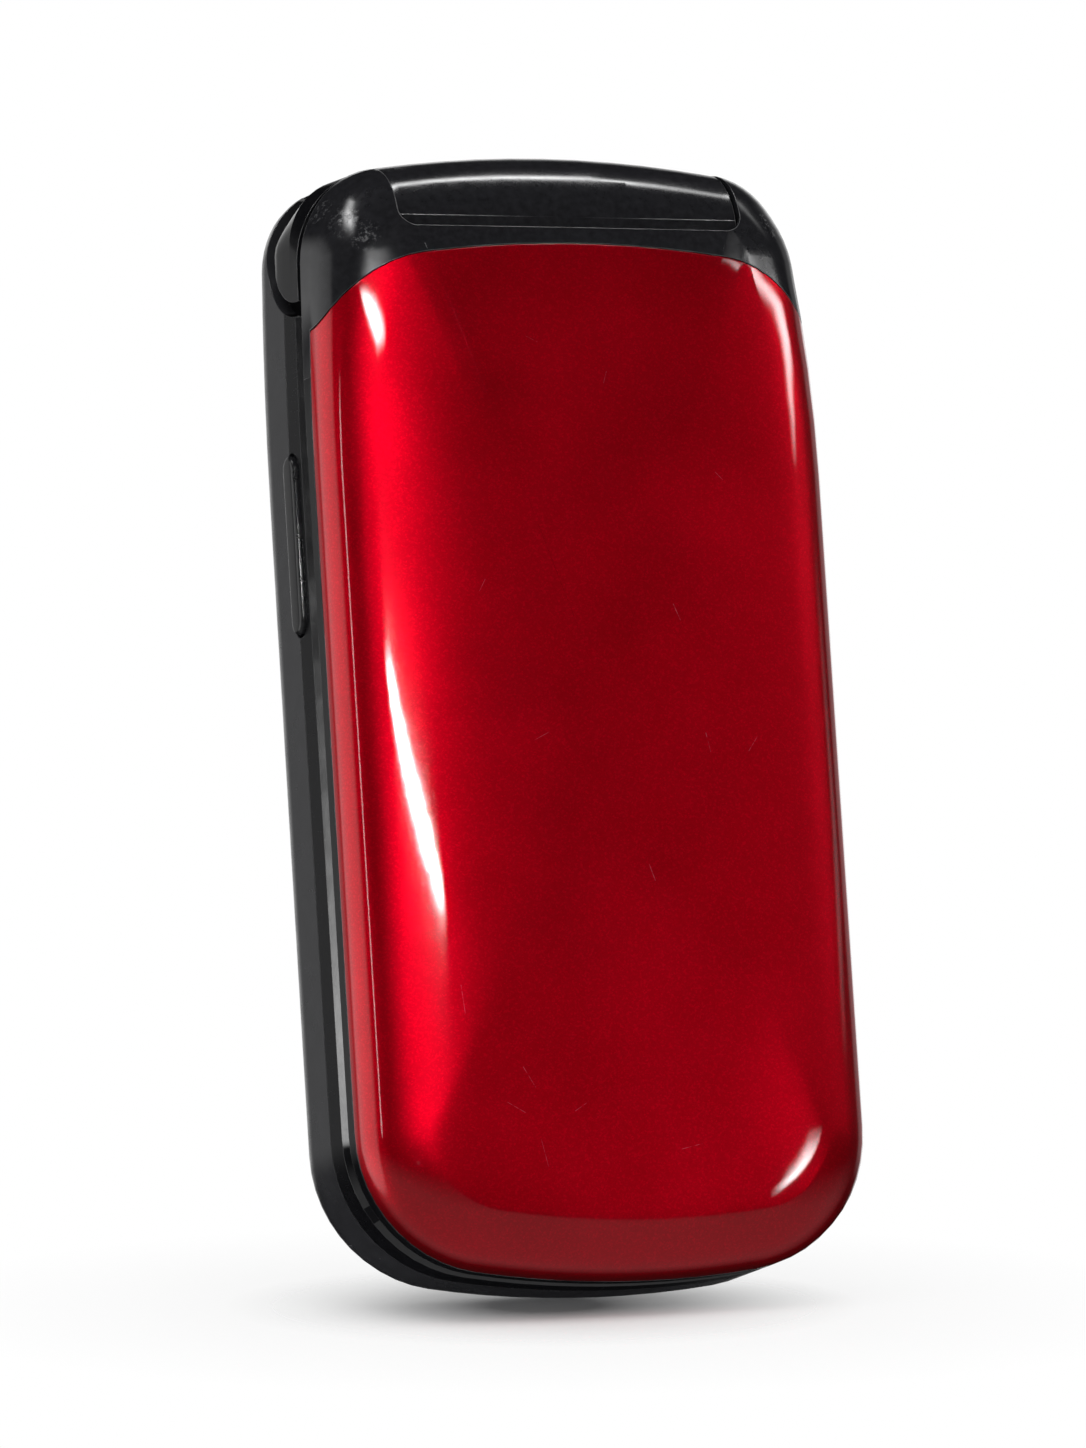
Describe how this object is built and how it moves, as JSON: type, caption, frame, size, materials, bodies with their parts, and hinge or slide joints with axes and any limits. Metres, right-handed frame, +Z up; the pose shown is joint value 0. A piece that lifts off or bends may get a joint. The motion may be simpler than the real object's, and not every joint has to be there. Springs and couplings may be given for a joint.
{
  "type": "clamshell mobile phone",
  "caption": "Red clamshell mobile phone lying closed on its back: crowned lid on a friction hinge, travelling keys, side volume rocker, covered charging socket and sliding battery cover.",
  "frame": {"origin": "centre of the underside of the closed phone's bounding box; the phone lies on its back", "axes": "+X to the right as seen from the lid, +Y from the far end to the hinge end, +Z up from the back through the lid"},
  "size_m": [0.0409, 0.086, 0.0189],
  "materials": {
    "red_lacquer": "candy red metallic lacquer under a clear coat, fine scratches",
    "black_gloss": "smooth black plastic, worn bright in small spots on the corners",
    "dark_grey": "satin dark grey plastic",
    "keypad_black": "smooth black plastic round the keys",
    "key_grey": null,
    "clear_window": "clear hard plastic window with a black printed border",
    "display_grey": "dark display in a metal frame",
    "board_green": "green printed board",
    "steel": "bare steel",
    "speaker_black": "black moulded plastic",
    "mesh_metal": "fine dark metal grille",
    "soft_rubber": "soft black rubber",
    "silicone": "translucent silicone rubber",
    "polyester": "clear film over small metal domes",
    "amber_film": "amber flexible circuit film",
    "bush_white": "plain acetal",
    "pack_grey": "grey plastic battery pack",
    "antenna_grey": "grey plastic carrier"
  },
  "bodies": {
    "base": {"back_shell": "dark_grey", "front_housing": "keypad_black", "hinge_barrel": "black_gloss", "cam_unit": "steel", "hinge_bush": "bush_white", "battery": "pack_grey", "keypad_mat": "silicone", "dome_sheet": "polyester", "main_board": "board_green", "shield_can": "steel", "sim_holder": "steel", "battery_contacts": "speaker_black", "ringer_speaker": "speaker_black", "vibration_motor": "steel", "microphone": "steel", "charge_socket": "steel", "rocker_board": "board_green", "antenna": "antenna_grey", "base_screws": "steel", "base_flex": "amber_film"},
    "lid": {"lid_cover": "red_lacquer", "hinge_shoulder": "black_gloss", "lid_frame": "black_gloss", "display_window": "clear_window", "display_module": "display_grey", "lid_board": "board_green", "earpiece": "speaker_black", "earpiece_mesh": "mesh_metal", "lid_screws": "steel", "lid_bumpers": "soft_rubber", "lid_magnet": "steel", "lid_flex": "amber_film", "cam_head": "steel", "hinge_sleeve": "steel"},
    "battery_cover": {"battery_cover": "dark_grey"},
    "volume_rocker": {"volume_rocker": "black_gloss"},
    "socket_flap": {"socket_flap": "dark_grey"},
    "vibration_weight": {"vibration_weight": "steel"},
    "nav_ring": {"nav_ring": "key_grey"},
    "select_key": {"select_key": "key_grey"},
    "soft_key_left": {"soft_key_left": "key_grey"},
    "soft_key_right": {"soft_key_right": "key_grey"},
    "send_key": {"send_key": "key_grey"},
    "end_key": {"end_key": "key_grey"},
    "clear_key": {"clear_key": "key_grey"},
    "key_1": {"key_1": "key_grey"},
    "key_2": {"key_2": "key_grey"},
    "key_3": {"key_3": "key_grey"},
    "key_4": {"key_4": "key_grey"},
    "key_5": {"key_5": "key_grey"},
    "key_6": {"key_6": "key_grey"},
    "key_7": {"key_7": "key_grey"},
    "key_8": {"key_8": "key_grey"},
    "key_9": {"key_9": "key_grey"},
    "key_star": {"key_star": "key_grey"},
    "key_0": {"key_0": "key_grey"},
    "key_hash": {"key_hash": "key_grey"}
  },
  "joints": [
    {"name": "lid_hinge", "type": "hinge", "parent": "base", "child": "lid", "pos_m": [0, 0.0374, 0.0112], "axis": [-1, 0, 0], "range_deg": [0, 155]},
    {"name": "battery_cover_slide", "type": "slide", "parent": "base", "child": "battery_cover", "axis": [0, -1, 0], "range_m": [0, 0.004]},
    {"name": "volume_rocker_tilt", "type": "hinge", "parent": "base", "child": "volume_rocker", "pos_m": [-0.01915, 0.0136, 0.0085], "axis": [0, 0, 1], "range_deg": [-2, 2], "stiffness_Nm_per_rad": 0.1},
    {"name": "socket_flap_hinge", "type": "hinge", "parent": "base", "child": "socket_flap", "pos_m": [0.01992, 0.02237, 0.0056], "axis": [0, 0, 1], "range_deg": [0, 100]},
    {"name": "vibration_weight_spin", "type": "hinge", "parent": "base", "child": "vibration_weight", "pos_m": [0.0128, 0.0252, 0.0034], "axis": [1, 0, 0], "continuous": true},
    {"name": "nav_ring_press", "type": "slide", "parent": "base", "child": "nav_ring", "axis": [0, 0, -1], "range_m": [0, 0.00035], "stiffness_N_per_m": 400},
    {"name": "select_key_press", "type": "slide", "parent": "base", "child": "select_key", "axis": [0, 0, -1], "range_m": [0, 0.00035], "stiffness_N_per_m": 400},
    {"name": "soft_key_left_press", "type": "slide", "parent": "base", "child": "soft_key_left", "axis": [0, 0, -1], "range_m": [0, 0.00035], "stiffness_N_per_m": 400},
    {"name": "soft_key_right_press", "type": "slide", "parent": "base", "child": "soft_key_right", "axis": [0, 0, -1], "range_m": [0, 0.00035], "stiffness_N_per_m": 400},
    {"name": "send_key_press", "type": "slide", "parent": "base", "child": "send_key", "axis": [0, 0, -1], "range_m": [0, 0.00035], "stiffness_N_per_m": 400},
    {"name": "end_key_press", "type": "slide", "parent": "base", "child": "end_key", "axis": [0, 0, -1], "range_m": [0, 0.00035], "stiffness_N_per_m": 400},
    {"name": "clear_key_press", "type": "slide", "parent": "base", "child": "clear_key", "axis": [0, 0, -1], "range_m": [0, 0.00035], "stiffness_N_per_m": 400},
    {"name": "key_1_press", "type": "slide", "parent": "base", "child": "key_1", "axis": [0, 0, -1], "range_m": [0, 0.00035], "stiffness_N_per_m": 400},
    {"name": "key_2_press", "type": "slide", "parent": "base", "child": "key_2", "axis": [0, 0, -1], "range_m": [0, 0.00035], "stiffness_N_per_m": 400},
    {"name": "key_3_press", "type": "slide", "parent": "base", "child": "key_3", "axis": [0, 0, -1], "range_m": [0, 0.00035], "stiffness_N_per_m": 400},
    {"name": "key_4_press", "type": "slide", "parent": "base", "child": "key_4", "axis": [0, 0, -1], "range_m": [0, 0.00035], "stiffness_N_per_m": 400},
    {"name": "key_5_press", "type": "slide", "parent": "base", "child": "key_5", "axis": [0, 0, -1], "range_m": [0, 0.00035], "stiffness_N_per_m": 400},
    {"name": "key_6_press", "type": "slide", "parent": "base", "child": "key_6", "axis": [0, 0, -1], "range_m": [0, 0.00035], "stiffness_N_per_m": 400},
    {"name": "key_7_press", "type": "slide", "parent": "base", "child": "key_7", "axis": [0, 0, -1], "range_m": [0, 0.00035], "stiffness_N_per_m": 400},
    {"name": "key_8_press", "type": "slide", "parent": "base", "child": "key_8", "axis": [0, 0, -1], "range_m": [0, 0.00035], "stiffness_N_per_m": 400},
    {"name": "key_9_press", "type": "slide", "parent": "base", "child": "key_9", "axis": [0, 0, -1], "range_m": [0, 0.00035], "stiffness_N_per_m": 400},
    {"name": "key_star_press", "type": "slide", "parent": "base", "child": "key_star", "axis": [0, 0, -1], "range_m": [0, 0.00035], "stiffness_N_per_m": 400},
    {"name": "key_0_press", "type": "slide", "parent": "base", "child": "key_0", "axis": [0, 0, -1], "range_m": [0, 0.00035], "stiffness_N_per_m": 400},
    {"name": "key_hash_press", "type": "slide", "parent": "base", "child": "key_hash", "axis": [0, 0, -1], "range_m": [0, 0.00035], "stiffness_N_per_m": 400}
  ]
}
